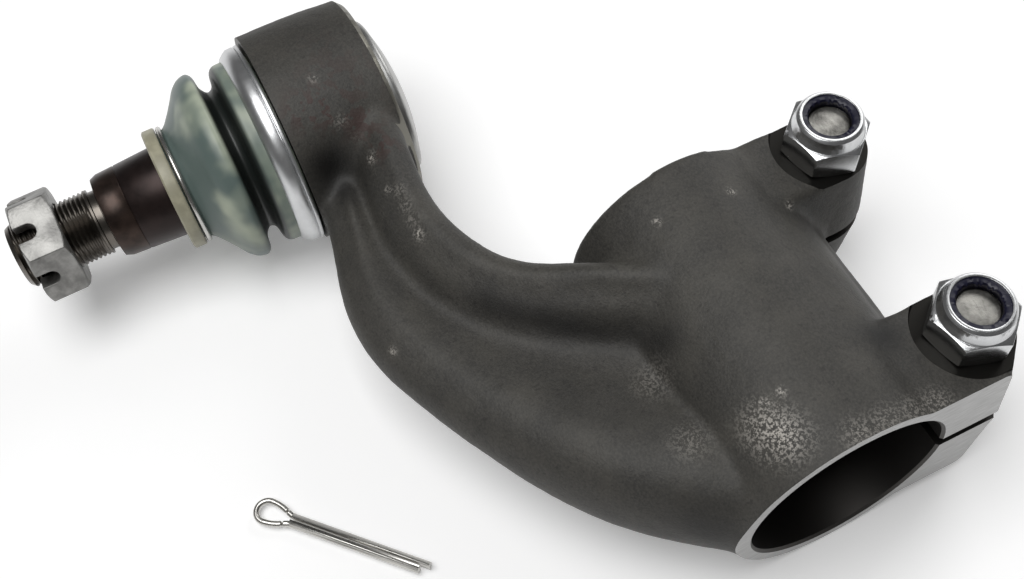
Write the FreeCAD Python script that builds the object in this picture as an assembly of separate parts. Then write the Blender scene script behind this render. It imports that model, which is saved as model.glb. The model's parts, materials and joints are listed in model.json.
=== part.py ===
import FreeCAD, Part
import math
import os

# Steering ball joint: a forged arm with a ball housing at one end and a split
# clamp tube at the other.  Millimetres, +Z up.  The origin is the middle of the
# clamp bore, +X runs along the bore to its open mouth, and the housing lies
# towards -X and -Y with its ball stud pointing along -Y.

V = FreeCAD.Vector
SAME = 1e-6

# Gap between pieces that are pressed or laid together
PART_GAP = 0.1

# Clamp tube
BORE_R = 30.0
TUBE_WALL = 4.3
CLAMP_LENGTH = 98.0
MOUTH_CHAMFER = 0.8
CLAMP_ROLL = 3.5
SLIT = 4.0
RAIL_REACH = 37.0
RAIL_HALF = 15.0
RAIL_CORNER = 12.0
END_ROUND = 2.5
TUBE_R = BORE_R + TUBE_WALL
MOUTH_X = CLAMP_LENGTH / 2
FLOOR_Z = -TUBE_R

# Clamp jaws and their bolts, in the clamp's own rolled axes
FRONT_BOLT_INSET = 17.0
REAR_BOLT_INSET = 11.5
BOLT_X = {"front": MOUTH_X - FRONT_BOLT_INSET, "rear": REAR_BOLT_INSET - MOUTH_X}
BOLT_Y = 43.5
JAW_TOP = 28.0
JAW_BOTTOM = 26.5
JAW_ROUND = 13.0
JAW_DRAFT = 0.11
JAW_CORNER = 2.5
SEAT_TOP = 26.2
SEAT_BOTTOM = 22.9
SPOTFACE_R = 16.0
BOLT_R = 7.0
BOLT_HOLE_CLEARANCE = 0.25
BOLT_LENGTH = 60.0
BOLT_CHAMFER = 1.2
HEX_AF = 22.0
HEAD_HEIGHT = 8.8
HEX_CHAMFER = 1.1
HEX_CHAMFER_RUN = 1.87
HEX_CORNER_PLAY = 0.2

# Lock nut with a rolled collar over a nylon insert
NUT_HEIGHT = 14.0
NUT_HEX_HEIGHT = 9.6
NUT_TURN = 12.0
NUT_NECK_R = 10.6
NUT_NECK_RUN = 2.0
COLLAR_R = 9.8
COLLAR_WALL = 1.7
COLLAR_ROUND = 0.8
INSERT_HEIGHT = 3.6
INSERT_RECESS = 0.5
INSERT_LIP_R = 6.2
INSERT_CHAMFER = 0.5

# Ball and the bearing shells round it
BALL_R = 20.0
BALL_CLEARANCE = 0.05
SHELL_WALL = 4.0
SHELL_CLEARANCE = 0.05
SHELL_GAP = 1.0
SHELL_TIP_GAP = 0.2
REAR_SHELL_DEPTH = 10.0
CHAMBER_R = BALL_R + SHELL_WALL

# Cover, its snap ring and seal, and the coned spring inside it
COVER_THICK = 2.0
COVER_SIDE_GAP = 0.2
COVER_CORNER = 1.7
COVER_RISE = 4.0
BALL_TO_COVER = 2.0
LEDGE_WIDTH = 0.7
SPRING_THICK = 1.3
SPRING_DROP = 1.5
SPRING_WIDTH = 5.7
SPRING_SIDE_GAP = 0.9
SEAT_RING_THICK = 1.8
SEAT_RING_LAP = 0.4
SNAP_RING_THICK = 2.0
SNAP_RING_PLAY = 1.4
SNAP_RING_LAP = 2.9
SNAP_RING_GAP = 6.0
SEAL_INSET = 3.3
SEAL_SECTION_R = 1.1
COVER_SEAT_DEPTH = 6.0
GROOVE_DEPTH = 1.5
COVER_WALL_R = CHAMBER_R + COVER_SIDE_GAP + COVER_THICK
SNAP_RING_INNER_R = COVER_WALL_R + SNAP_RING_PLAY
COVER_SEAT_R = SNAP_RING_INNER_R + SNAP_RING_LAP
SEAL_R = COVER_SEAT_R - SEAL_INSET
SPRING_R = CHAMBER_R - SPRING_SIDE_GAP

# Ball stud
NECK_R = 11.5
NECK_END = 36.0
CONE_START = 46.0
CONE_R = 15.9
CONE_BACK = 1.2
CONE_BACK_RUN = 3.0
CONE_END = 78.6
CONE_HALF_TAPER = 1.0 / 16.0
CONE_NOSE = 0.85
CONE_NOSE_RUN = 2.2
THREAD_R = 11.0
THREAD_LEAD = 1.2
RELIEF_R = 9.8
RELIEF_LENGTH = 2.6
RELIEF_RUN = 0.6
STUD_END = 108.6
STUD_CHAMFER = 1.4
PIN_HOLE_R = 2.4

# Slotted nut
SLOT_NUT_AF = 32.0
SLOT_NUT_HEIGHT = 13.0
SLOT_NUT_FACE = 105.0
SLOT_COUNT = 6
SLOT_WIDTH = 5.2
SLOT_DEPTH = 6.6
SLOT_NUT_TURN = 13.0

# Ball housing; the stud side is measured along the stud axis from the ball centre
BALL_X = -138.6
BALL_Y = -74.0
REAR_WALL = 2.3
HOUSING_R = COVER_SEAT_R + GROOVE_DEPTH + REAR_WALL
HOUSING_FRONT = 17.4
HOUSING_REAR = 16.5
HOUSING_ROUND = 1.6
REAR_CHAMFER = 1.0
CHAMBER_FRONT = 11.5
THROAT_GAP = 7.0
THROAT_LAND = 0.5
THROAT_DEPTH = 1.5
SHELL_MOUTH_GAP = 5.1
BALL_CENTRE = V(BALL_X, BALL_Y, 0.0)

# Boot and its rings: (distance along the stud, outer radius)
BOOT_WALL = 1.8
BOOT_SEAT_INSET = 3.7
BOOT_NECK_R = 18.2
BOOT_SEAT_R = HOUSING_R - BOOT_SEAT_INSET
BOOT_PROFILE = [(18.2, BOOT_SEAT_R), (26.2, BOOT_SEAT_R - 0.2), (29.4, BOOT_SEAT_R - 1.0), (33.6, 26.2),
                (35.2, 27.6), (37.4, 31.0), (39.6, 31.3), (42.8, 29.4), (46.0, 25.2), (49.0, 21.3),
                (51.3, 18.9), (53.2, BOOT_NECK_R), (55.4, BOOT_NECK_R - 0.1), (57.4, BOOT_NECK_R - 0.2)]
SPIGOT_END = 24.6
SPIGOT_WALL = 4.2
BAND_INSET = 0.6
BAND_START = 17.6
BAND_STRAIGHT = 5.0
BAND_NOSE_ROUND = 0.8
BAND_NOSE_INSET = 2.5
BAND_END = 26.0
BAND_R = HOUSING_R - BAND_INSET
BAND_NOSE_R = BAND_R - BAND_NOSE_INSET
LIP_RING_START = 53.9
LIP_RING_END = 58.2
LIP_RING_WALL = 2.1
LIP_RING_ROUND = 0.5
WIRE_AT = 52.75
WIRE_R = 0.85

# Forged arm: one row per cross-section from the housing to the clamp, as
# (rib side x, rib side y, outer edge x, outer edge y, rib half height, web half height)
ARM_SECTIONS = [
    (-122.0, BALL_Y + 14.5, -122.0, BALL_Y - 16.5, 26.0, 15.0),
    (-106.0, BALL_Y + 13.8, -104.0, BALL_Y - 18.0, 24.5, 11.0),
    (-88.0, BALL_Y + 12.2, -84.0, BALL_Y - 22.0, 22.5, 9.8),
    (-71.0, -60.0, -60.0, -99.6, 21.5, 10.0),
    (-57.0, -54.5, -34.0, -93.6, 21.5, 10.5),
    (-46.5, -46.0, -8.0, -82.2, 23.0, 12.0),
    (-39.0, -36.0, 15.0, -69.2, 26.0, 14.5),
    (-30.0, -23.0, 36.0, -50.8, 29.0, 17.0),
    (-21.0, -8.0, 58.0, -26.0, 31.0, 17.0),
]
RIB_WIDTH = 10.5
RIB_SHOULDER = 1.6
RIB_FLANK = 7.5
EDGE_ROUND = 7.0
JAW_SLOPE_RUN = 12.0

# Split pin, lying loose on the surface that the joint rests on
PIN_EYE_X = -36.5
PIN_EYE_Y = -146.0
PIN_TIP_X = 3.4
PIN_TIP_Y = -110.0
PIN_LEG_R = 1.9
PIN_EYE_R = 4.4
PIN_NECK_RUN = 4.0
PIN_SHORT_LEG = 2.6
PIN_SPREAD = 0.35
PIN_FLAT = 0.06


def cylinder_x(radius, x0, x1):
    return Part.makeCylinder(radius, x1 - x0, V(x0, 0, 0), V(1, 0, 0))


def cylinder_z(radius, z0, z1, x=0.0, y=0.0):
    return Part.makeCylinder(radius, z1 - z0, V(x, y, z0), V(0, 0, 1))


def box(x0, x1, y0, y1, z0, z1):
    return Part.makeBox(x1 - x0, y1 - y0, z1 - z0, V(x0, y0, z0))


def revolve(profile):
    """Solid of revolution about Z from rows of (r, z); a row of four is an arc through its first pair."""
    edges = []
    last = V(profile[-1][-2], 0, profile[-1][-1])
    for row in profile:
        end = V(row[-2], 0, row[-1])
        if len(row) == 4:
            edges.append(Part.Arc(last, V(row[0], 0, row[1]), end).toShape())
        else:
            edges.append(Part.LineSegment(last, end).toShape())
        last = end
    return Part.Face(Part.Wire(edges)).revolve(V(0, 0, 0), V(0, 0, 1), 360)


def hexagon_prism(across_flats, z0, z1, turn=0.0):
    corner = across_flats / math.sqrt(3)
    points = []
    for i in range(7):
        angle = math.radians(turn + 60 * i)
        points.append(V(corner * math.cos(angle), corner * math.sin(angle), z0))
    return Part.Face(Part.makePolygon(points)).extrude(V(0, 0, z1 - z0))


def chamfered_hexagon(across_flats, z0, z1, turn=0.0):
    """Hexagon bar whose corners are turned off at both ends, as on a forged nut."""
    corner = across_flats / math.sqrt(3) + HEX_CORNER_PLAY
    face = corner - HEX_CORNER_PLAY - HEX_CHAMFER_RUN
    turned = revolve([(0, z0), (face, z0), (corner, z0 + HEX_CHAMFER), (corner, z1 - HEX_CHAMFER), (face, z1),
                      (0, z1)])
    return hexagon_prism(across_flats, z0, z1, turn).common(turned)


def on_stud_axis(shape):
    """Place a shape built along +Z from the ball centre onto the stud axis, -Y."""
    placed = shape.copy()
    placed.rotate(V(0, 0, 0), V(1, 0, 0), 90)
    placed.translate(BALL_CENTRE)
    return placed


def in_clamp(shape):
    """Turn a shape from the clamp's own axes to its roll about the bore."""
    placed = shape.copy()
    placed.rotate(V(0, 0, 0), V(1, 0, 0), -CLAMP_ROLL)
    return placed


def jaw_outline(cx, reach, z):
    """Half-stadium round a bolt; the front one runs on past the mouth face."""
    def at(degrees):
        angle = math.radians(degrees)
        return V(cx + reach * math.cos(angle), BOLT_Y + reach * math.sin(angle), z)

    foot = V(cx - reach, 0, z)
    points = [foot, at(180)]
    arcs = [(180, 135, 90), (90, 67.5, 45)]
    tail = [V(at(45).x + JAW_SLOPE_RUN, at(45).y - JAW_SLOPE_RUN, z)]
    if cx < 0:
        arcs[1] = (90, 45, 0)
        tail = [at(0)]
    edges = [Part.LineSegment(*points).toShape()]
    for start, middle, end in arcs:
        edges.append(Part.Arc(at(start), at(middle), at(end)).toShape())
    last = at(arcs[1][2])
    tail.append(V(tail[0].x, 0, z))
    tail.append(foot)
    for point in tail:
        if not point.isEqual(last, SAME):
            edges.append(Part.LineSegment(last, point).toShape())
        last = point
    return Part.Wire(edges)


def jaw_block(cx):
    """Two drafted bosses, one each way from the slit, rounded at their ends."""
    halves = []
    for height in (JAW_TOP, -JAW_BOTTOM):
        wide = jaw_outline(cx, JAW_ROUND + JAW_DRAFT * abs(height), 0)
        narrow = jaw_outline(cx, JAW_ROUND, height)
        half = Part.makeLoft([wide, narrow], True, True)
        rim = [e for e in half.Edges if all(abs(v.Z - height) < SAME for v in e.Vertexes)
               and max(v.Y for v in e.Vertexes) > SAME]
        halves.append(half.makeFillet(JAW_CORNER, rim))
    return halves[0].fuse(halves[1])


def clamp_blank():
    """Tube, side rail and jaws before any machining."""
    tube = cylinder_x(TUBE_R, -MOUTH_X, 2 * MOUTH_X)
    far_rim = [e for e in tube.Edges if e.BoundBox.XMax < 0]
    tube = tube.makeFillet(END_ROUND, far_rim)
    rail = box(-MOUTH_X, MOUTH_X, 0, RAIL_REACH, -RAIL_HALF, RAIL_HALF)
    corners = [e for e in rail.Edges if e.BoundBox.YMin > RAIL_REACH - SAME and e.BoundBox.XLength > SAME]
    rail = rail.makeFillet(RAIL_CORNER, corners)
    blank = tube.fuse([rail, jaw_block(BOLT_X["rear"]), jaw_block(BOLT_X["front"])])
    envelope = box(-MOUTH_X, MOUTH_X, -2 * TUBE_R, 2 * TUBE_R, -2 * TUBE_R, 2 * TUBE_R)
    return in_clamp(blank.common(envelope))


def arm_wire(rib_x, rib_y, edge_x, edge_y, rib, web):
    """One closed cross-section: a tall rib, a hollow beside it, then a web with a round edge."""
    start = V(rib_x, rib_y, 0)
    across = V(edge_x, edge_y, 0) - start
    width = across.Length
    across.normalize()
    flank = RIB_WIDTH + RIB_FLANK / 2
    valley = RIB_WIDTH + RIB_FLANK * 1.25
    upper = [(0.0, 0.0), (0.0, rib * 0.62), (RIB_SHOULDER, rib * 0.92), (RIB_WIDTH / 2, rib),
             (RIB_WIDTH, rib * 0.88), (flank, (rib + web) / 2), (valley, web * 0.92),
             (width * 0.72, web * 1.08), (width - EDGE_ROUND, web * 0.9), (width - EDGE_ROUND / 4, web / 2)]
    points = [start + across * u + V(0, 0, z) for u, z in upper]
    points.append(start + across * width)
    points += [start + across * u + V(0, 0, -z) for u, z in reversed(upper[1:])]
    curve = Part.BSplineCurve()
    curve.interpolate(points, PeriodicFlag=True)
    return Part.Wire(curve.toShape())


def arm():
    """Curved arm: a tall rib on the inner bend and a web that spreads along the tube."""
    return Part.makeLoft([arm_wire(*row) for row in ARM_SECTIONS], True, False)


def housing_blank():
    """Barrel with a chamfered rear rim, and the spigot that carries the boot's wide end."""
    rear = -HOUSING_REAR
    barrel = revolve([(0, rear), (HOUSING_R - REAR_CHAMFER, rear), (HOUSING_R, rear + REAR_CHAMFER),
                      (HOUSING_R, HOUSING_FRONT), (0, HOUSING_FRONT)])
    front_rim = [e for e in barrel.Edges if e.BoundBox.ZMin > HOUSING_FRONT - SAME
                 and e.BoundBox.XLength > HOUSING_R]
    barrel = barrel.makeFillet(HOUSING_ROUND, front_rim)
    spigot_r = BOOT_SEAT_R - BOOT_WALL - PART_GAP
    return on_stud_axis(barrel.fuse(cylinder_z(spigot_r, 0, SPIGOT_END)))


def cover_seat():
    """Where the cover's flange rests, along the stud axis."""
    return -HOUSING_REAR + COVER_SEAT_DEPTH


def housing_cavity():
    """Chamber for ball and shells, open to the stud in front and to the cover behind."""
    seat = cover_seat()
    behind = -HOUSING_REAR - COVER_SEAT_DEPTH
    throat = NECK_R + THROAT_GAP
    throat_start = HOUSING_FRONT - THROAT_DEPTH
    mouth = BOOT_SEAT_R - BOOT_WALL - PART_GAP - SPIGOT_WALL
    chamber = revolve([(0, behind), (COVER_SEAT_R, behind), (COVER_SEAT_R, seat), (CHAMBER_R, seat),
                       (CHAMBER_R, CHAMBER_FRONT), (throat, throat_start), (throat, throat_start + THROAT_LAND),
                       (mouth, SPIGOT_END), (mouth, SPIGOT_END + 1), (0, SPIGOT_END + 1)])
    groove_r = COVER_SEAT_R + GROOVE_DEPTH
    groove_top = seat - COVER_THICK
    groove_end = groove_top - SNAP_RING_THICK - PART_GAP
    groove = revolve([(0, groove_end), (groove_r, groove_end), (groove_r, groove_top), (0, groove_top)])
    seal = Part.makeTorus(SEAL_R, SEAL_SECTION_R, V(0, 0, seat))
    return on_stud_axis(chamber.fuse([groove, seal]))


def bolt_cuts():
    """Bolt holes with their spotfaces, in the clamp's rolled axes."""
    cuts = []
    for x in BOLT_X.values():
        cuts.append(cylinder_z(BOLT_R + BOLT_HOLE_CLEARANCE, -2 * JAW_TOP, 2 * JAW_TOP, x, BOLT_Y))
        cuts.append(cylinder_z(SPOTFACE_R, SEAT_TOP, 2 * JAW_TOP, x, BOLT_Y))
        cuts.append(cylinder_z(SPOTFACE_R, -2 * JAW_TOP, -SEAT_BOTTOM, x, BOLT_Y))
    return [in_clamp(c) for c in cuts]


def forged_body():
    """The one forging: housing, arm and clamp, with every machined face and hole."""
    reach = 2 * TUBE_R
    bore = cylinder_x(BORE_R, -reach, reach)
    chamfer_run = 2 * MOUTH_CHAMFER
    chamfer_at = V(MOUTH_X - MOUTH_CHAMFER, 0, 0)
    chamfer = Part.makeCone(BORE_R, BORE_R + chamfer_run, chamfer_run, chamfer_at, V(1, 0, 0))
    slit = in_clamp(box(-reach, reach, BORE_R / 2, reach, -SLIT / 2, SLIT / 2))
    beyond = box(MOUTH_X, MOUTH_X + reach, -3 * reach, reach, -reach, reach)
    body = clamp_blank().fuse([arm(), housing_blank()])
    return body.cut([beyond, bore, chamfer, slit, housing_cavity()] + bolt_cuts())


def bolt(x):
    head = chamfered_hexagon(HEX_AF, -SEAT_BOTTOM - HEAD_HEIGHT, -SEAT_BOTTOM)
    end = BOLT_LENGTH - SEAT_BOTTOM
    shank = revolve([(0, -SEAT_BOTTOM), (BOLT_R, -SEAT_BOTTOM), (BOLT_R, end - BOLT_CHAMFER),
                     (BOLT_R - BOLT_CHAMFER, end), (0, end)])
    whole = head.fuse(shank)
    whole.translate(V(x, BOLT_Y, 0))
    return in_clamp(whole)


def lock_nut(x):
    """Hexagon, turned neck and a collar that is rolled in over the nylon ring."""
    top = SEAT_TOP + NUT_HEIGHT
    shoulder = SEAT_TOP + NUT_HEX_HEIGHT
    hexed = chamfered_hexagon(HEX_AF, SEAT_TOP, shoulder, NUT_TURN)
    collar = revolve([(0, SEAT_TOP), (NUT_NECK_R, SEAT_TOP), (NUT_NECK_R, shoulder),
                      (COLLAR_R, shoulder + NUT_NECK_RUN), (COLLAR_R, top - COLLAR_ROUND),
                      (COLLAR_R - COLLAR_ROUND, top), (0, top)])
    pocket = cylinder_z(COLLAR_R - COLLAR_WALL, top - INSERT_HEIGHT - INSERT_RECESS, top + 1)
    hole = cylinder_z(BOLT_R, SEAT_TOP - 1, top + 1)
    whole = hexed.fuse(collar).cut([pocket, hole])
    whole.translate(V(x, BOLT_Y, 0))
    return in_clamp(whole)


def nut_insert(x):
    """Nylon ring that grips the thread, with an inner lip over the bolt's end."""
    top = SEAT_TOP + NUT_HEIGHT - INSERT_RECESS
    step = BOLT_LENGTH - SEAT_BOTTOM
    outer = COLLAR_R - COLLAR_WALL
    ring = revolve([(BOLT_R, top - INSERT_HEIGHT), (outer, top - INSERT_HEIGHT), (outer, top),
                    (INSERT_LIP_R + INSERT_CHAMFER, top), (INSERT_LIP_R, top - INSERT_CHAMFER),
                    (INSERT_LIP_R, step), (BOLT_R, step)])
    ring.translate(V(x, BOLT_Y, 0))
    return in_clamp(ring)


def cone_radius(s):
    """Radius of the stud's taper at a distance from the ball centre."""
    return CONE_R - (s - CONE_START) * CONE_HALF_TAPER


def ball_and_stud():
    """Ball, neck, taper, relief groove and threaded end in one turned piece."""
    nose = CONE_END - CONE_NOSE_RUN
    relief = CONE_END + RELIEF_RUN
    thread = CONE_END + RELIEF_LENGTH
    shank = revolve([(0, 0), (NECK_R, 0), (NECK_R, NECK_END), (CONE_R - CONE_BACK, CONE_START - CONE_BACK_RUN),
                     (CONE_R, CONE_START), (cone_radius(nose), nose), (cone_radius(nose) - CONE_NOSE, CONE_END),
                     (RELIEF_R, relief), (RELIEF_R, thread), (THREAD_R, thread + THREAD_LEAD),
                     (THREAD_R, STUD_END - STUD_CHAMFER), (THREAD_R - STUD_CHAMFER, STUD_END), (0, STUD_END)])
    hole_at = SLOT_NUT_FACE - SLOT_DEPTH / 2
    hole = Part.makeCylinder(PIN_HOLE_R, 4 * THREAD_R, V(-2 * THREAD_R, 0, hole_at), V(1, 0, 0))
    hole.rotate(V(0, 0, 0), V(0, 0, 1), SLOT_NUT_TURN)
    return on_stud_axis(Part.makeSphere(BALL_R).fuse(shank).cut(hole))


def castle_nut():
    """Hexagon nut with slots across its outer face for the split pin."""
    base = SLOT_NUT_FACE - SLOT_NUT_HEIGHT
    nut = chamfered_hexagon(SLOT_NUT_AF, base, SLOT_NUT_FACE, SLOT_NUT_TURN + 180 / SLOT_COUNT)
    cuts = [cylinder_z(THREAD_R, base - 1, SLOT_NUT_FACE + 1)]
    half = SLOT_WIDTH / 2
    root_at = SLOT_NUT_FACE - SLOT_DEPTH + half
    for i in range(SLOT_COUNT):
        slot = box(0, SLOT_NUT_AF, -half, half, root_at, SLOT_NUT_FACE + 1)
        slot = slot.fuse(Part.makeCylinder(half, SLOT_NUT_AF, V(0, 0, root_at), V(1, 0, 0)))
        slot.rotate(V(0, 0, 0), V(0, 0, 1), SLOT_NUT_TURN + i * 360 / SLOT_COUNT)
        cuts.append(slot)
    return on_stud_axis(nut.cut(cuts))


def front_shell():
    outer = CHAMBER_R - SHELL_CLEARANCE
    tip = CHAMBER_FRONT - SHELL_TIP_GAP
    ring = revolve([(0, SHELL_GAP / 2), (outer, SHELL_GAP / 2), (outer, tip), (0, tip)])
    mouth = cylinder_z(NECK_R + SHELL_MOUTH_GAP, 0, tip + 1)
    return on_stud_axis(ring.cut([Part.makeSphere(BALL_R + BALL_CLEARANCE), mouth]))


def rear_shell():
    outer = CHAMBER_R - SHELL_CLEARANCE
    front = -SHELL_GAP / 2
    ring = revolve([(0, -REAR_SHELL_DEPTH), (outer, -REAR_SHELL_DEPTH), (outer, front), (0, front)])
    return on_stud_axis(ring.cut(Part.makeSphere(BALL_R + BALL_CLEARANCE)))


def seat_ring_back():
    """Rear face of the spring seat, along the stud axis."""
    return -REAR_SHELL_DEPTH - SHELL_CLEARANCE - SEAT_RING_THICK


def spring_seat():
    outer = CHAMBER_R - SHELL_CLEARANCE
    inner = SPRING_R - SPRING_WIDTH + SEAT_RING_LAP
    back = seat_ring_back()
    front = back + SEAT_RING_THICK
    return on_stud_axis(revolve([(inner, back), (outer, back), (outer, front), (inner, front)]))


def disc_spring():
    """Coned washer between the cover's ledge and the spring seat."""
    inner = SPRING_R - SPRING_WIDTH
    z = seat_ring_back()
    low = z - SPRING_DROP
    return on_stud_axis(revolve([(inner, z), (inner, z - SPRING_THICK), (SPRING_R, low - SPRING_THICK),
                                 (SPRING_R, low)]))


def dome_height(radius, rim_r):
    """How far a shallow dome that rises COVER_RISE within rim_r has fallen at a radius."""
    sphere = (rim_r ** 2 + COVER_RISE ** 2) / (2 * COVER_RISE)
    return sphere - math.sqrt(sphere ** 2 - radius ** 2)


def end_cover():
    """Pressed steel cover: a flange, a short wall with a ledge for the spring, and a shallow dome."""
    seat = cover_seat()
    back = seat - COVER_THICK
    outer = COVER_SEAT_R - PART_GAP
    inner_wall = COVER_WALL_R - COVER_THICK
    ledge = seat_ring_back() - SPRING_THICK - SPRING_DROP
    ledge_r = SPRING_R - LEDGE_WIDTH
    inside = -BALL_R - BALL_TO_COVER
    apex = inside - COVER_THICK
    rim = COVER_WALL_R - COVER_CORNER
    rim_at = apex + dome_height(rim, rim)
    bend = COVER_CORNER * (1 - math.sqrt(0.5))
    profile = [(0, inside), (ledge_r / 2, inside + dome_height(ledge_r / 2, rim), ledge_r,
                             inside + dome_height(ledge_r, rim)),
               (ledge_r, ledge), (inner_wall, ledge), (inner_wall, seat), (outer, seat), (outer, back),
               (COVER_WALL_R, back), (COVER_WALL_R, rim_at + COVER_CORNER),
               (COVER_WALL_R - bend, rim_at + bend, rim, rim_at),
               (rim / 2, apex + dome_height(rim / 2, rim), 0, apex)]
    return on_stud_axis(revolve(profile))


def snap_ring():
    """Open ring sprung into the housing's groove behind the cover."""
    top = cover_seat() - COVER_THICK - PART_GAP / 2
    end = top - SNAP_RING_THICK
    outer = COVER_SEAT_R + GROOVE_DEPTH - PART_GAP
    ring = revolve([(SNAP_RING_INNER_R, end), (outer, end), (outer, top), (SNAP_RING_INNER_R, top)])
    gap = box(0, 2 * outer, -SNAP_RING_GAP / 2, SNAP_RING_GAP / 2, end - 1, top + 1)
    return on_stud_axis(ring.cut(gap))


def seal_ring():
    """Round-section ring squeezed between the cover's flange and its groove."""
    seat = cover_seat()
    torus = Part.makeTorus(SEAL_R, SEAL_SECTION_R, V(0, 0, seat))
    upper = cylinder_z(COVER_SEAT_R, seat, seat + 2 * SEAL_SECTION_R)
    return on_stud_axis(torus.common(upper))


def boot():
    """Rubber bellows of even wall, revolved from one smooth outer line."""
    outer = [V(r, 0, s) for s, r in BOOT_PROFILE]
    line = Part.BSplineCurve()
    line.interpolate(outer)
    inner = []
    for point in outer:
        tangent = line.tangent(line.parameter(point))[0]
        inner.append(point + V(-tangent.z, 0, tangent.x) * BOOT_WALL)
    back = Part.BSplineCurve()
    back.interpolate(inner)
    edges = [line.toShape(), Part.LineSegment(outer[-1], inner[-1]).toShape(), back.toShape(),
             Part.LineSegment(inner[0], outer[0]).toShape()]
    face = Part.Face(Part.Wire(Part.sortEdges(edges)[0]))
    return on_stud_axis(face.revolve(V(0, 0, 0), V(0, 0, 1), 360))


def boot_band():
    """Pressed zinc band that holds the boot's wide end on the housing."""
    lip = BOOT_SEAT_R + PART_GAP
    step = BAND_START + BAND_STRAIGHT
    profile = [(lip, BAND_START), (BAND_R, BAND_START), (BAND_R, step),
               (BAND_NOSE_R + BAND_NOSE_ROUND / 2, BAND_END - BAND_NOSE_ROUND), (BAND_NOSE_R, BAND_END),
               (lip, BAND_END)]
    return on_stud_axis(revolve(profile))


def boot_lip_ring():
    """Moulded ring that seats the boot's small end on the stud's taper."""
    inner = cone_radius(LIP_RING_START) + PART_GAP
    low = BOOT_NECK_R + PART_GAP
    outer = BOOT_NECK_R + LIP_RING_WALL
    floor = BOOT_PROFILE[-1][0] + PART_GAP
    profile = [(inner, floor), (low, floor), (low, LIP_RING_START + LIP_RING_ROUND),
               (outer - LIP_RING_ROUND, LIP_RING_START), (outer, LIP_RING_START + LIP_RING_ROUND),
               (outer, LIP_RING_END - LIP_RING_ROUND), (outer - LIP_RING_ROUND, LIP_RING_END),
               (inner, LIP_RING_END)]
    return on_stud_axis(revolve(profile))


def boot_wire_ring():
    return on_stud_axis(Part.makeTorus(BOOT_NECK_R + 2 * PART_GAP + WIRE_R, WIRE_R, V(0, 0, WIRE_AT)))


def pin_half(side, leg_end, neck, eye_mid):
    """One leg of half-round wire and the bow that runs from it to the eye."""
    wire = PIN_LEG_R / 2
    spread = side * PIN_SPREAD
    leg = Part.makeCylinder(PIN_LEG_R, leg_end - neck, V(neck, 0, 0), V(1, 0, 0))
    leg = leg.common(box(neck - 1, leg_end + 1, PIN_FLAT, 2 * PIN_LEG_R, -2 * PIN_LEG_R, 2 * PIN_LEG_R))
    if side < 0:
        leg = leg.mirror(V(0, 0, 0), V(0, 1, 0))
    leg.translate(V(0, spread, 0))
    mid_y = side * (PIN_FLAT + wire) + spread
    start = V(neck, mid_y, 0)
    eye_y = side * eye_mid
    bow = Part.BezierCurve()
    bow.setPoles([start, V(neck * 0.8, mid_y, 0), V(neck * 0.55, eye_y * 0.98, 0), V(0, eye_y, 0)])
    section = Part.Wire(Part.Circle(start, V(1, 0, 0), wire).toShape())
    return [leg, Part.Wire(bow.toShape()).makePipeShell([section], True, True)]


def split_pin():
    """Half-round wire folded to an eye and two legs, one a little longer."""
    run = V(PIN_TIP_X - PIN_EYE_X, PIN_TIP_Y - PIN_EYE_Y, 0)
    neck = PIN_EYE_R + PIN_NECK_RUN
    eye_mid = PIN_EYE_R - PIN_LEG_R / 2
    solids = pin_half(1, run.Length, neck, eye_mid) + pin_half(-1, run.Length - PIN_SHORT_LEG, neck, eye_mid)
    eye = Part.makeTorus(eye_mid, PIN_LEG_R / 2, V(0, 0, 0), V(0, 0, 1), 0, 360, 180)
    eye.rotate(V(0, 0, 0), V(0, 0, 1), 90)
    pin = solids[0].fuse(solids[1:] + [eye])
    pin.rotate(V(0, 0, 0), V(0, 0, 1), math.degrees(math.atan2(run.y, run.x)))
    pin.translate(V(PIN_EYE_X, PIN_EYE_Y, FLOOR_Z + PIN_LEG_R))
    return pin


def build():
    parts = {
        "forged_body": forged_body(),
        "ball_stud": ball_and_stud(),
        "castle_nut": castle_nut(),
        "front_bearing_shell": front_shell(),
        "rear_bearing_shell": rear_shell(),
        "spring_seat": spring_seat(),
        "disc_spring": disc_spring(),
        "end_cover": end_cover(),
        "cover_snap_ring": snap_ring(),
        "cover_seal_ring": seal_ring(),
        "boot": boot(),
        "boot_band": boot_band(),
        "boot_lip_ring": boot_lip_ring(),
        "boot_wire_ring": boot_wire_ring(),
        "split_pin": split_pin(),
    }
    for place, x in BOLT_X.items():
        parts["clamp_bolt_" + place] = bolt(x)
        parts["lock_nut_" + place] = lock_nut(x)
        parts["nut_insert_" + place] = nut_insert(x)
    return parts


os.makedirs("parts", exist_ok=True)
for name, shape in build().items():
    shape.exportStep(os.path.join("parts", name + ".step"))
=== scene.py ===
import json
import math

import bpy
from bpy.props import FloatProperty, FloatVectorProperty, IntProperty, PointerProperty
from bpy.types import Operator, Panel, PropertyGroup
from mathutils import Euler, Matrix, Vector
from mathutils.kdtree import KDTree


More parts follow.
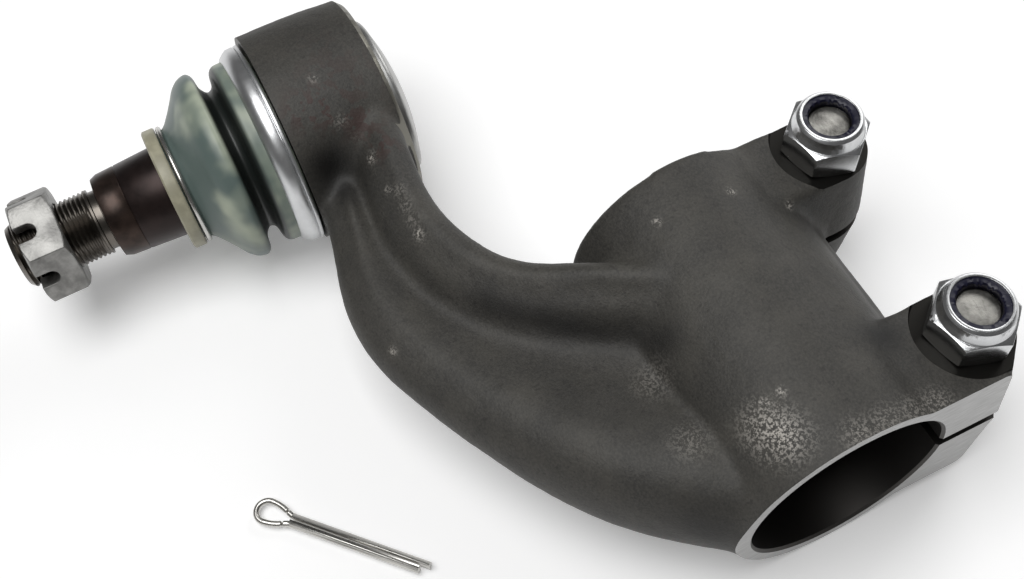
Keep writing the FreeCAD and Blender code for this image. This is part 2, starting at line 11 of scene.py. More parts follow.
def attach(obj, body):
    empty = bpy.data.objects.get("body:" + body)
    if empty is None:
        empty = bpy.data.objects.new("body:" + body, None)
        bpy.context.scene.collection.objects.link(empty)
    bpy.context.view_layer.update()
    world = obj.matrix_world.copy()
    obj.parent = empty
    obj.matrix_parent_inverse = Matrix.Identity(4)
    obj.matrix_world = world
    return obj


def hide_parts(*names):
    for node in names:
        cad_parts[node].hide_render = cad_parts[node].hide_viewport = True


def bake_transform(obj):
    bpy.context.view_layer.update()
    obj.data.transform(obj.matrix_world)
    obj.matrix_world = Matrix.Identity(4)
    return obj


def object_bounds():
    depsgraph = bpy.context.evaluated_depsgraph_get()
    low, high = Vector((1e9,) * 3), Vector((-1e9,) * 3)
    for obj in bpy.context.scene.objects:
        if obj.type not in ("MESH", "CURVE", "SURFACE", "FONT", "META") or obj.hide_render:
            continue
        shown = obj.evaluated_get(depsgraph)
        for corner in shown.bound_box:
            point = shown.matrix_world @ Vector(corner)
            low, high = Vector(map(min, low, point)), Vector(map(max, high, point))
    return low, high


bl_info = {
    "name": "Clamp-end ball joint",
    "version": (1, 0, 0),
    "blender": (4, 5, 0),
    "location": "3D View > Sidebar > Ball Joint",
    "description": "Models and finishes a forged steering ball joint with a split clamp",
    "category": "Object",
}

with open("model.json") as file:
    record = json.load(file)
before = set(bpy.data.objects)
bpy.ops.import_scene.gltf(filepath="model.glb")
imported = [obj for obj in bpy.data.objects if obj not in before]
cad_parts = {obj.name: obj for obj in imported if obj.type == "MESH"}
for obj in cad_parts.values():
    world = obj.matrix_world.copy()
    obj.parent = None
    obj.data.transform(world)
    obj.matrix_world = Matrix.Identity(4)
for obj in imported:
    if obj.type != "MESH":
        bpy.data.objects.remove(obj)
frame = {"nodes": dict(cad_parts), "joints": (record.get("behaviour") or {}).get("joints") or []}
CAD_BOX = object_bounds()

MM = 0.001
ALONG_BORE = Vector((1, 0, 0))
UP = Vector((0, 0, 1))

# The clamp's own axes, rolled a little about the bore
CLAMP_ROLL = math.radians(3.5)
CLAMP_UP = Vector((0, math.sin(CLAMP_ROLL), math.cos(CLAMP_ROLL)))
CLAMP_OUT = Vector((0, math.cos(CLAMP_ROLL), -math.sin(CLAMP_ROLL)))

# The stud's axis, from the ball centre out along -Y
BALL_CENTRE = Vector(next(j for j in frame["joints"] if j["name"] == "stud_tilt")["pos_m"])
STUD_AXIS = Vector((0, -1, 0))
STUD_SIDE = Vector((1, 0, 0))

# Tube and clamp in mm
MOUTH_X = 49.0
BORE_R = 30.0
BORE_CHAMFER = 0.8
TUBE_R = 34.3
SLIT = 4.0
BOLT_Y = 43.5
BOLT_X = {"front": 32.0, "rear": -37.5}
BOLT_HOLE_R = 7.25
SEAT_R = 16.0
SEAT_EDGE = 0.6
SEAT_TOP = 26.2
SEAT_BOTTOM = 22.9

# Stock in mm that the blank has and machining takes off
SLIT_STOCK = 4.6
SEAT_STOCK = 1.8
UNDERSIDE_STOCK = 3.0
MOUTH_STOCK = 6.0

# A face is picked by how squarely it faces, where 1 is square, and how near it is in mm
SQUARE = 0.99
NEAR = 0.05

# Housing in mm, its heights from the ball centre out along the stud
REAR_FACE = -16.6
REAR_FACE_R = 32.9
REAR_CHAMFER = 3.6
FRONT_SHOULDER = 18.35
FRONT_SPIGOT_R = 29.0
COVER_R = 30.5
SNAP_RING_R = 32.0
SHELL_R = 24.0
THROAT_R = 18.5
FUNNEL_R = 24.5

# How far in mm the forging's corners are rounded
ARM_FILLET = 9.0
JAW_FILLET = 14.0

# Stud in mm, its heights from the ball centre
SHANK_R = 11.5
TAPER_R = 15.9
TAPER_START = 46.0
TAPER_END = 78.6
GROOVE = 70.5
NECK = 79.0
NECK_R = 9.8
THREAD_R = 11.0
THREAD_START = 81.2
THREAD_END = 108.6
THREAD_ROW = 0.25
THREAD_ROWS = 104
THREAD_DEPTH = 0.9
THREAD_FADE = 2.0

# Boot wire in mm
WIRE_R = 0.85
WIRE_RING_R = 19.25
WIRE_HEIGHT = 52.75

# The camera's place in mm and its turn in degrees, as the photograph's view asks
CAMERA_PLACE = (141.05, -120.28, 351.05)
CAMERA_TURN = (29.972, 4.224, 63.190)
SENSOR_WIDTH = 36

# Floor in metres, and the light that it sends to the camera alone
FLOOR_Z = CAD_BOX[0][2]
FLOOR_SIZE = 12
FLOOR_GLOW = 0.22
WHITE = (1, 1, 1, 1)
BLACK = (0, 0, 0, 1)


def linear(code):
    """Linear RGBA of an sRGB hex colour such as 0x3C3A38."""
    channels = [(code >> shift & 255) / 255 for shift in (16, 8, 0)]
    return [c / 12.92 if c <= 0.04045 else ((c + 0.055) / 1.055) ** 2.4 for c in channels] + [1.0]


def darker(colour, share):
    """The colour with that share of its light taken away."""
    return [c * (1 - share) for c in colour[:3]] + [1.0]


def colour_property(name, description, code):
    return FloatVectorProperty(name=name, description=description, subtype="COLOR", size=4, min=0, max=1,
                               default=linear(code))


class StageSettings(PropertyGroup):
    lens: FloatProperty(name="Lens", description="Focal length for a 36 mm sensor", unit="CAMERA",
                        default=47.46)
    key_power: FloatProperty(name="Key lamp", description="Power of the large lamp overhead", unit="POWER",
                             default=7.4)
    rim_power: FloatProperty(name="Rim lamp", description="Power of the low lamp behind", unit="POWER",
                             default=3.2)
    sky: FloatProperty(name="Room light", description="Strength of the even light all round", default=0.12)
    floor: colour_property("Floor", "Colour of the floor", 0xF8F8F8)


class ForgingSettings(PropertyGroup):
    voxel: FloatProperty(name="Skin grid", description="Grid that the forging's skin is rebuilt on",
                         unit="LENGTH", default=0.9 * MM)
    rounding: IntProperty(name="Rounding", description="Smoothing steps in the forging's corners", default=36)
    lumps: FloatProperty(name="Lumps", description="Height of the slow unevenness", unit="LENGTH",
                         default=0.45 * MM)
    pitting: FloatProperty(name="Pitting", description="Height of the scale pits", unit="LENGTH",
                           default=0.12 * MM)
    skin: colour_property("Skin", "Blasted forging skin", 0x42403B)
    skin_dark: colour_property("Dark skin", "Darker scale on the skin", 0x31302D)
    rust: colour_property("Rust", "Old heat and rust stain on the housing", 0x3A2824)
    bare: colour_property("Bare steel", "Steel where the skin is knocked off", 0xB9B4AC)
    machined: colour_property("Machined", "Cut steel at the mouth", 0xA3A3A2)


class BootSettings(PropertyGroup):
    wall: FloatProperty(name="Wall", description="Thickness of the rubber", unit="LENGTH", default=1.8 * MM)
    rubber: colour_property("Rubber", "Grey-green rubber", 0x5C6A66)
    bloom: colour_property("Bloom", "Pale bloom on the rubber", 0xB4BBA6)
    lip: colour_property("Lip", "Cream ring at the small end", 0xA7A38D)


class StudSettings(PropertyGroup):
    pitch: FloatProperty(name="Pitch", description="Thread pitch", unit="LENGTH", default=1.5 * MM)
    taper: colour_property("Taper", "Browned steel of the taper", 0x2E2422)
    nut: colour_property("Slotted nut", "Phosphated steel", 0x9E9D9A)


class FastenerSettings(PropertyGroup):
    zinc: colour_property("Zinc", "Bright zinc plating", 0xD4D5D6)
    nylon: colour_property("Nylon", "Nylon insert", 0x0B0B26)


class PinSettings(PropertyGroup):
    steel: colour_property("Pin", "Drawn steel", 0xC9C7C2)


def deselect():
    if bpy.context.object and bpy.context.object.mode != "OBJECT":
        bpy.ops.object.mode_set(mode="OBJECT")
    bpy.ops.object.select_all(action="DESELECT")


def activate(obj):
    """Selects the object alone and makes it the active one."""
    deselect()
    obj.select_set(True)
    bpy.context.view_layer.objects.active = obj
    return obj


def edit(obj, mode="FACE"):
    """Opens the object in edit mode with nothing selected."""
    activate(obj)
    bpy.ops.object.mode_set(mode="EDIT")
    bpy.ops.mesh.select_mode(type=mode)
    bpy.ops.mesh.select_all(action="DESELECT")


def leave():
    bpy.ops.object.mode_set(mode="OBJECT")


def select_faces(obj, wanted):
    """Selects the faces for which wanted(centre, normal) is true, and leaves edit mode on."""
    edit(obj)
    leave()
    for face in obj.data.polygons:
        face.select = wanted(face.center, face.normal)
    bpy.ops.object.mode_set(mode="EDIT")


def merge(obj):
    """Merges doubled points and leaves them selected in edit mode."""
    edit(obj)
    bpy.ops.mesh.select_all(action="SELECT")
    bpy.ops.mesh.remove_doubles(threshold=0.002 * MM)


def tidy_mesh(obj):
    """Merges doubled points and turns every face outwards."""
    merge(obj)
    bpy.ops.mesh.normals_make_consistent(inside=False)
    leave()


def copy_of(node, name):
    """A merged copy of a CAD node's mesh, with no parent."""
    copied = bpy.data.objects.new(name, frame["nodes"][node].data.copy())
    bpy.context.scene.collection.objects.link(copied)
    copied.data.materials.clear()
    merge(copied)
    leave()
    return copied


def apply_all(obj):
    """Applies the object's modifiers in their order."""
    activate(obj)
    for modifier in list(obj.modifiers):
        bpy.ops.object.modifier_apply(modifier=modifier.name)
    return obj


def settle(obj):
    """Puts the object at the origin with its place in its mesh."""
    activate(obj)
    bpy.ops.object.transform_apply(location=True, rotation=True, scale=True)
    return obj


def soften(obj, width_mm, segments=2):
    """Rounds the sharp edges as deburring or plating does."""
    bevel = obj.modifiers.new("Edges", "BEVEL")
    bevel.width = width_mm * MM
    bevel.segments = segments
    bevel.limit_method = "ANGLE"
    bevel.angle_limit = math.radians(30)
    return apply_all(obj)


def shade(obj, angle):
    """Shades faces smooth where they meet at less than that angle in degrees."""
    activate(obj)
    bpy.ops.object.shade_smooth_by_angle(angle=math.radians(angle))
    return obj


def joined(parts, name):
    activate(parts[0])
    for part in parts:
        part.select_set(True)
    bpy.ops.object.join()
    parts[0].name = name
    return parts[0]


def cut(obj, cutter):
    """Cuts a solid away, which leaves its own material on the new faces."""
    step = obj.modifiers.new("Cut", "BOOLEAN")
    step.operation = "DIFFERENCE"
    step.object = cutter
    step.solver = "MANIFOLD"
    step.material_mode = "TRANSFER"
    activate(obj)
    bpy.ops.object.modifier_apply(modifier=step.name)
    bpy.data.objects.remove(cutter)


def lathe(name, outline, origin, axis, side, steps, closed=False):
    """Spins an outline of (radius, height) points in mm about an axis through origin."""
    mesh = bpy.data.meshes.new(name)
    points = [origin + side * (radius * MM) + axis * (height * MM) for radius, height in outline]
    edges = [(i, i + 1) for i in range(len(points) - 1)]
    if closed:
        edges.append((len(points) - 1, 0))
    mesh.from_pydata(points, edges, [])
    turned = bpy.data.objects.new(name, mesh)
    bpy.context.scene.collection.objects.link(turned)
    edit(turned, "VERT")
    bpy.ops.mesh.select_all(action="SELECT")
    bpy.ops.mesh.spin(steps=steps, angle=2 * math.pi, center=origin, axis=axis)
    leave()
    tidy_mesh(turned)
    return turned


def stud_lathe(name, outline, closed=False, steps=128):
    """Spins an outline about the stud's axis, with heights from the ball centre."""
    return lathe(name, outline, BALL_CENTRE, STUD_AXIS, STUD_SIDE, steps, closed)


def bolt_lathe(name, outline, x, steps=96):
    """Spins an outline about a clamp bolt's axis, with heights from the slit."""
    return lathe(name, outline, (CLAMP_OUT * BOLT_Y + ALONG_BORE * x) * MM, CLAMP_UP, ALONG_BORE, steps)


def bore_lathe(name, outline, steps=96):
    """Spins an outline about the bore's axis, with heights from its middle."""
    return lathe(name, outline, Vector(), ALONG_BORE, UP, steps)


def stud_height(place):
    """Height in mm of a place above the ball centre, along the stud."""
    return (place - BALL_CENTRE).dot(STUD_AXIS) / MM


def clamp_height(place):
    """Height in mm of a place above the slit, in the clamp's axes."""
    return place.dot(CLAMP_UP) / MM


def smooth_line(points):
    """Points of a smooth curve through the given (radius, height) points."""
    curve = bpy.data.curves.new("Line", "CURVE")
    curve.dimensions = "2D"
    curve.resolution_u = 8
    spline = curve.splines.new("BEZIER")
    spline.bezier_points.add(len(points) - 1)
    for knot, (radius, height) in zip(spline.bezier_points, points):
        knot.co = (radius, height, 0)
        knot.handle_left_type = "AUTO"
        knot.handle_right_type = "AUTO"
    holder = bpy.data.objects.new("Line", curve)
    bpy.context.scene.collection.objects.link(holder)
    bpy.context.view_layer.update()
    mesh = bpy.data.meshes.new_from_object(holder.evaluated_get(bpy.context.evaluated_depsgraph_get()))
    found = [(v.co.x, v.co.y) for v in mesh.vertices]
    bpy.data.objects.remove(holder)
    bpy.data.meshes.remove(mesh)
    return found


def round_section(radius, height, wire_r, count=16):
    """Outline of a round wire whose middle is at that radius and height."""
    turns = [2 * math.pi * i / count for i in range(count)]
    return [(radius + wire_r * math.cos(turn), height + wire_r * math.sin(turn)) for turn in turns]


def add_node(tree, kind, inputs=None, output=0, **settings):
    """Adds a shader node, sets it up, links or fills its inputs and returns the wanted output."""
    node = tree.nodes.new("ShaderNode" + kind)
    for key, value in settings.items():
        setattr(node, key, value)
    for key, value in (inputs or {}).items():
        if isinstance(value, bpy.types.NodeSocket):
            tree.links.new(value, node.inputs[key])
        else:
            node.inputs[key].default_value = value
    return node.outputs[output] if node.outputs else None


def new_material(name, **sockets):
    """A material with its shader's own sockets set."""
    material = bpy.data.materials.new(name)
    material.use_nodes = True
    shader = material.node_tree.nodes["Principled BSDF"]
    for key, value in sockets.items():
        shader.inputs[key.replace("_", " ")].default_value = value
    return material, material.node_tree, shader


def per_metre(size_mm):
    """Texture scale for a feature of that size."""
    return 1000.0 / size_mm


def patches(tree, size_mm, low, high, strength=1.0, detail=4.0, roughness=0.55, distortion=0.0):
    """A factor that rises to its strength in patches of about that size, as noise goes from low to high."""
    place = add_node(tree, "TexCoord", output="Object")
    cloud = add_node(tree, "TexNoise", {"Vector": place, "Scale": per_metre(size_mm), "Detail": detail,
                                        "Roughness": roughness, "Distortion": distortion})
    return add_node(tree, "MapRange", {"Value": cloud, "From Min": low, "From Max": high,
                                       "To Max": strength}, interpolation_type="SMOOTHSTEP")


def relief(tree, shader, size_mm, depth_mm, strength, detail=3.0, under=None):
    """Raises and lowers the surface in grains of about that size, over the relief under them."""
    place = add_node(tree, "TexCoord", output="Object")
    grain = add_node(tree, "TexNoise", {"Vector": place, "Scale": per_metre(size_mm), "Detail": detail,
                                        "Roughness": 0.55})
    inputs = {"Height": grain, "Distance": depth_mm * MM, "Strength": strength}
    if under:
        inputs["Normal"] = under
    normal = add_node(tree, "Bump", inputs)
    tree.links.new(normal, shader.inputs["Normal"])
    return normal


def layered(tree, tone, *layers):
    """Lays colours over a tone one after another, each given as (factor, colour)."""
    for factor, colour in layers:
        tone = add_node(tree, "Mix", {0: factor, 6: tone, 7: colour}, 2, data_type="RGBA")
    return tone


def forged_skin(settings):
    """Shot-blasted forged steel: matte dark scale, light grit marks, stains, bright nicks, painted shade.

    Real grit marks are about 0.3 mm wide, and are drawn twice as wide so that they show.
    """
    material, tree, shader = new_material("Blasted forged steel", Metallic=0.1)
    wear = add_node(tree, "Attribute", output="Fac", attribute_name="wear")
    # Painted shade: this mark darkens the hollows and the sides turned from the lamps nearly to black
    painted_shade = add_node(tree, "Attribute", output="Fac", attribute_name="painted_shade")
    stain = add_node(tree, "Attribute", output="Fac", attribute_name="stain")
    faint_stain = add_node(tree, "Math", {0: stain, 1: 0.85}, operation="MULTIPLY")
    worn = patches(tree, 0.8, 0.46, 0.58, wear, 3, 0.7)
    tone = layered(tree, settings.skin_dark,
                   (patches(tree, 16, 0.3, 0.8), settings.skin),
                   (patches(tree, 0.7, 0.3, 0.75, 0.22, 2), linear(0x66625C)),
                   (patches(tree, 1.6, 0.58, 0.7, 0.5, 2), linear(0x282624)),
                   (patches(tree, 4.0, 0.5, 0.56, faint_stain, 2), settings.rust),
                   (painted_shade, linear(0x100F0E)),
                   (worn, settings.bare))
    tree.links.new(tone, shader.inputs["Base Color"])
    gloss = add_node(tree, "MapRange", {"Value": worn, "To Min": 0.6, "To Max": 0.36})
    tree.links.new(gloss, shader.inputs["Roughness"])
    grit = relief(tree, shader, 0.6, 0.12, 0.9)
    relief(tree, shader, 2.6, 0.25, 0.6, under=grit)
    return material


def machined_steel(name, colour, roughness, mark_colour=None):
    """Cut steel: even and cold, with fine parallel tool marks that draw the light out across them.

    Real tool marks are about 0.2 mm apart, and are drawn 0.5 mm apart so that they show.
    """
    material, tree, shader = new_material(name, Metallic=1.0, Roughness=roughness)
    place = add_node(tree, "TexCoord", output="Object")
    stretched = add_node(tree, "Mapping", {"Vector": place, "Scale": (1, 0.08, 1)})
    marks = add_node(tree, "TexNoise", {"Vector": stretched, "Scale": per_metre(0.5), "Detail": 2.0})
    spread = add_node(tree, "MapRange", {"Value": marks, "From Min": 0.3, "From Max": 0.7},
                      interpolation_type="SMOOTHSTEP")
    tone = layered(tree, colour, (spread, mark_colour or colour))
    tree.links.new(tone, shader.inputs["Base Color"])
    normal = add_node(tree, "Bump", {"Height": marks, "Distance": 0.02 * MM, "Strength": 0.5})
    tree.links.new(normal, shader.inputs["Normal"])
    return material


def plain_metal(name, colour, roughness, metallic=1.0, grain_mm=1.2, depth_mm=0.02, spread=0.12):
    """Metal with a fine grain, patches darker by its spread and a slow change of gloss."""
    material, tree, shader = new_material(name, Metallic=metallic, Roughness=roughness)
    tone = layered(tree, darker(colour, spread), (patches(tree, 6, 0.3, 0.7), colour))
    tree.links.new(tone, shader.inputs["Base Color"])
    place = add_node(tree, "TexCoord", output="Object")
    cloud = add_node(tree, "TexNoise", {"Vector": place, "Scale": per_metre(3), "Detail": 4.0,
                                        "Roughness": 0.55})
    gloss = add_node(tree, "MapRange", {"Value": cloud, "To Min": roughness * 0.8,
                                        "To Max": roughness * 1.25})
    tree.links.new(gloss, shader.inputs["Roughness"])
    relief(tree, shader, grain_mm, depth_mm, 0.6)
    return material


def bloomed_rubber(settings):
    """Moulded synthetic rubber: soft and satin, with a waxy bloom in pale patches and painted shade in the
    fold.
    """
    material, tree, shader = new_material("Bloomed rubber", Roughness=0.4)
    bloom = add_node(tree, "Attribute", output="Fac", attribute_name="bloom")
    # Painted shade: this mark paints the fold by the band near black
    painted_shade = add_node(tree, "Attribute", output="Fac", attribute_name="painted_shade")
    place = add_node(tree, "TexCoord", output="Object")
    cloud = add_node(tree, "TexNoise", {"Vector": place, "Scale": per_metre(7), "Detail": 1.0,
                                        "Roughness": 0.55})
    ragged = add_node(tree, "Math", {0: bloom, 1: cloud}, operation="ADD")
    bloomed = add_node(tree, "MapRange", {"Value": ragged, "From Min": 0.6, "From Max": 1.5,
                                          "To Max": 0.85}, interpolation_type="SMOOTHSTEP")
    tone = layered(tree, settings.rubber,
                   (patches(tree, 18, 0.5, 0.7, 0.35, 1.0, 0.4, 0.4), settings.bloom),
                   (bloomed, settings.bloom),
                   (painted_shade, linear(0x10110F)))
    tree.links.new(tone, shader.inputs["Base Color"])
    relief(tree, shader, 0.8, 0.03, 0.4, 2)
    return material


def moulded(name, colour, roughness):
    """Moulded plastic or rubber: nearly even, with a trace of flow marks."""
    material, tree, shader = new_material(name, Roughness=roughness)
    tone = layered(tree, darker(colour, 0.2), (patches(tree, 4, 0.35, 0.65), colour))
    tree.links.new(tone, shader.inputs["Base Color"])
    relief(tree, shader, 0.6, 0.02, 0.4, 2)
    return material


def paint(obj, *materials):
    """Gives the object these materials in place of its own."""
    obj.data.materials.clear()
    for material in materials:
        obj.data.materials.append(material)
    return obj


def place_piece(obj, body, slot, *replaced):
    """Binds a piece to a body of the frame, in place of the CAD nodes named."""
    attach(obj, body)
    if replaced:
        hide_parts(*replaced)
    return obj


def finish_copy(node, name, body, slot, material, edge_mm=0.0, segments=2):
    """Finishes a copy of a CAD node that stands in for it, with its edges rounded."""
    copied = copy_of(node, name)
    if edge_mm:
        soften(copied, edge_mm, segments)
    shade(paint(copied, material), 40)
    place_piece(copied, body, slot, node)


def extrude_faces(obj, wanted, offset):
    """Moves the wanted faces by an offset in mm, with new walls behind them."""
    select_faces(obj, wanted)
    bpy.ops.mesh.extrude_region_move(TRANSFORM_OT_translate={"value": offset * MM})
    leave()


def clamp_faces(side, level):
    """A test for the flat faces that look up (side 1) or down (side -1) at a level of the clamp."""
    return lambda centre, normal: (side * normal.dot(CLAMP_UP) > SQUARE
                                   and abs(clamp_height(centre) - level) < NEAR)


def forging_blank(settings):
    """The forging before machining: the cuts are filled, the skin rebuilt and its corners rounded."""
    blank = copy_of("forged_body", "forging")
    extrude_faces(blank, clamp_faces(-1, SLIT / 2), -CLAMP_UP * SLIT_STOCK)
    extrude_faces(blank, clamp_faces(1, SEAT_TOP), CLAMP_UP * SEAT_STOCK)
    extrude_faces(blank, clamp_faces(-1, -SEAT_BOTTOM), -CLAMP_UP * UNDERSIDE_STOCK)
    extrude_faces(blank, lambda centre, normal: normal.x > SQUARE and centre.x / MM > MOUTH_X - NEAR,
                  ALONG_BORE * MOUTH_STOCK)
    plug_r = BORE_R + 1
    plug = bore_lathe("plug", [(0, -48.4), (plug_r, -48.4), (plug_r, 54.5), (0, 54.5)])
    filler = stud_lathe("filler", [(0, -16.2), (32.4, -16.2), (32.4, 16.6), (28.2, 17.6), (28.2, 24.2),
                                   (0, 24.2)])
    # The housing swells a little from its rear edge to its shoulder, and sits off the stud's axis
    barrel = stud_lathe("barrel", [(0, -17.5), (33.9, -17.5), (34.2, -13), (35.1, 0), (35.2, 20), (0, 20)])
    barrel.location = Vector((-0.7, 0, 0.35)) * MM
    settle(barrel)
    blank = joined([blank, plug, filler, barrel], "forging")
    remesh = blank.modifiers.new("Skin", "REMESH")
    remesh.mode = "VOXEL"
    remesh.voxel_size = settings.voxel * 1
    apply_all(blank)
    round_corners(blank, settings)
    return blank


def corner_weight(place):
    """1 where the arm and the jaws meet the barrel and the tube, fading out round there."""
    x, y, z = place / MM
    ball_x, ball_y, _ = BALL_CENTRE / MM
    tube_gap = abs(math.hypot(y, z) - TUBE_R)
    housing_gap = abs(math.hypot(x - ball_x, z) - TUBE_R)
    weight = 0.0
    if x > -60 and y < -6:
        weight = 1 - tube_gap / ARM_FILLET
    if x < -90 and abs(y - ball_y) < 16:
        weight = 1 - housing_gap / ARM_FILLET
    if x > -52 and 12 < y < 40:
        weight = 1 - tube_gap / JAW_FILLET
    return max(0.0, min(1.0, 1.6 * weight))


def press_hollow(blank, centre, reach, push):
    """Pushes the skin in round a place, all in mm, as where the arm's web runs out at the housing."""
    for vertex in blank.data.vertices:
        gap = (vertex.co / MM - centre).length
        if gap < 2.5 * reach:
            vertex.co += push * MM * math.exp(-(gap / reach) ** 2)


def round_corners(blank, settings):
    """Smooths the skin a little all over and more in the corners, then makes it uneven."""
    group = blank.vertex_groups.new(name="corners")
    for vertex in blank.data.vertices:
        weight = corner_weight(vertex.co)
        if weight > 0:
            group.add([vertex.index], weight, "REPLACE")
    overall = blank.modifiers.new("All over", "SMOOTH")
    overall.factor = 0.5
    overall.iterations = 3
    corners = blank.modifiers.new("Corners", "SMOOTH")
    corners.factor = 0.5
    corners.iterations = settings.rounding
    corners.vertex_group = group.name
    apply_all(blank)
    press_hollow(blank, Vector((-107, -84, 16)), 7.5, Vector((-2.5, 1, -4)))
    uneven(blank, "Lumps", 13, settings.lumps)
    uneven(blank, "Pitting", 2.6, settings.pitting)
    apply_all(blank)


def uneven(obj, name, size_mm, height):
    """Raises and lowers the skin by a cloud pattern of that size."""
    clouds = bpy.data.textures.new(name, "CLOUDS")
    clouds.noise_scale = size_mm * MM
    clouds.noise_depth = 2
    displace = obj.modifiers.new(name, "DISPLACE")
    displace.texture = clouds
    displace.texture_coords = "LOCAL"
    displace.strength = height
    displace.mid_level = 0.5


def slab(name, x, y, z, roll=0.0):
    """A cutter box from ranges in mm, turned about the bore."""
    bpy.ops.mesh.primitive_cube_add(size=1)
    cutter = bpy.context.object
    cutter.name = name
    middle = Vector((sum(x) / 2, sum(y) / 2, sum(z) / 2)) * MM
    cutter.scale = Vector((x[1] - x[0], y[1] - y[0], z[1] - z[0])) * MM
    cutter.rotation_euler = (-roll, 0, 0)
    cutter.location = Matrix.Rotation(-roll, 3, "X") @ middle
    return settle(cutter)


def machine(blank, settings):
    """Mills the mouth, bores the tube, splits the jaws, drills and spotfaces them, and cuts the housing."""
    # Milled face: clean, and the palest steel on the joint
    face = machined_steel("Machined steel", settings.machined, 0.34, linear(0x8C8B8A))
    # Bored and drilled walls and the slit: rougher cut steel, with painted shade making it dark
    bore = machined_steel("Bored steel painted shade", linear(0x4A4846), 0.45)
    # Spotfaced seats: cut steel painted near black round the nuts as painted shade
    seat = machined_steel("Spotfaced steel painted shade", linear(0x2A2927), 0.45)
    far = 90
    cut(blank, paint(slab("mouth", (MOUTH_X, far), (-far, far), (-far, far)), face))
    outline = [(0, -far), (BORE_R, -far), (BORE_R, MOUTH_X - BORE_CHAMFER),
               (BORE_R + 2 * BORE_CHAMFER, MOUTH_X + BORE_CHAMFER), (0, MOUTH_X + BORE_CHAMFER)]
    cut(blank, paint(bore_lathe("bore", outline, 160), bore))
    jaw_gap = slab("slit", (-far, far), (BORE_R / 2, far), (-SLIT / 2, SLIT / 2), CLAMP_ROLL)
    cut(blank, paint(jaw_gap, bore))
    for x in BOLT_X.values():
        cut(blank, paint(bolt_lathe("spot", seat_outline(1, SEAT_TOP), x), seat))
        cut(blank, paint(bolt_lathe("spot", seat_outline(-1, SEAT_BOTTOM), x), seat))
        hole = [(0, -40), (BOLT_HOLE_R, -40), (BOLT_HOLE_R, 40), (0, 40)]
        cut(blank, paint(bolt_lathe("hole", hole, x, 48), bore))
    cut_housing(blank, face, bore)


def seat_outline(side, level):
    """Outline of the tool that spotfaces a bolt's seat, above (side 1) or below (side -1) the slit."""
    past = 45
    outline = [(0, level), (SEAT_R - SEAT_EDGE, level), (SEAT_R, level + SEAT_EDGE), (SEAT_R, past), (0, past)]
    return [(radius, side * height) for radius, height in outline]


def cut_housing(blank, face, bore):
    """Turns the housing's rear rim and front spigot, and bores it for the cover, shells and stud."""
    # Turned rim: an older cut, duller and warmer than the mouth
    rim = machined_steel("Turned rim", linear(0x77756D), 0.42)
    rim_r = REAR_FACE_R + REAR_CHAMFER
    rear = [(0, -40), (rim_r, -40), (rim_r, REAR_FACE + REAR_CHAMFER), (REAR_FACE_R, REAR_FACE),
            (0, REAR_FACE)]
    cut(blank, paint(stud_lathe("rear", rear), rim))
    past_skin = 36.2
    front = [(FRONT_SPIGOT_R, FRONT_SHOULDER), (past_skin, FRONT_SHOULDER), (past_skin, 30),
             (FRONT_SPIGOT_R, 30)]
    # The spigot's cut faces take the bore's painted shade
    cut(blank, paint(stud_lathe("front", front, closed=True), bore))
    cavity = [(0, -30), (COVER_R, -30), (COVER_R, -14.6), (SNAP_RING_R, -14.6), (SNAP_RING_R, -12.5),
              (COVER_R, -12.5), (COVER_R, -10.5), (SHELL_R, -10.5), (SHELL_R, 11.5), (THROAT_R, 15.9),
              (THROAT_R, 16.4), (FUNNEL_R, 24.6), (FUNNEL_R, 28), (0, 28)]
    cut(blank, paint(stud_lathe("cavity", cavity), face))


def along(start, end, steps):
    """Places in mm on a straight line."""
    return [Vector(start).lerp(Vector(end), i / (steps - 1)) for i in range(steps)]


def round_stud(angle, radius, height):
    """A place in mm at an angle in degrees about the stud's axis, measured from +X towards +Z."""
    turn = math.radians(angle)
    return BALL_CENTRE / MM + Vector((radius * math.cos(turn), -height, radius * math.sin(turn)))


def mark(obj, name, places, reach, strength):
    """Adds a named mark to the mesh round each place in mm, fading out over its reach in mm."""
    points = obj.data.vertices
    tree = KDTree(len(points))
    for vertex in points:
        tree.insert(vertex.co, vertex.index)
    tree.balance()
    found = obj.data.attributes.get(name) or obj.data.attributes.new(name, "FLOAT", "POINT")
    for place in places:
        for _, index, gap in tree.find_range(Vector(place) * MM, 2 * reach * MM):
            weight = strength * math.exp(-(gap / (reach * MM)) ** 2)
            found.data[index].value = min(1.0, found.data[index].value + weight)


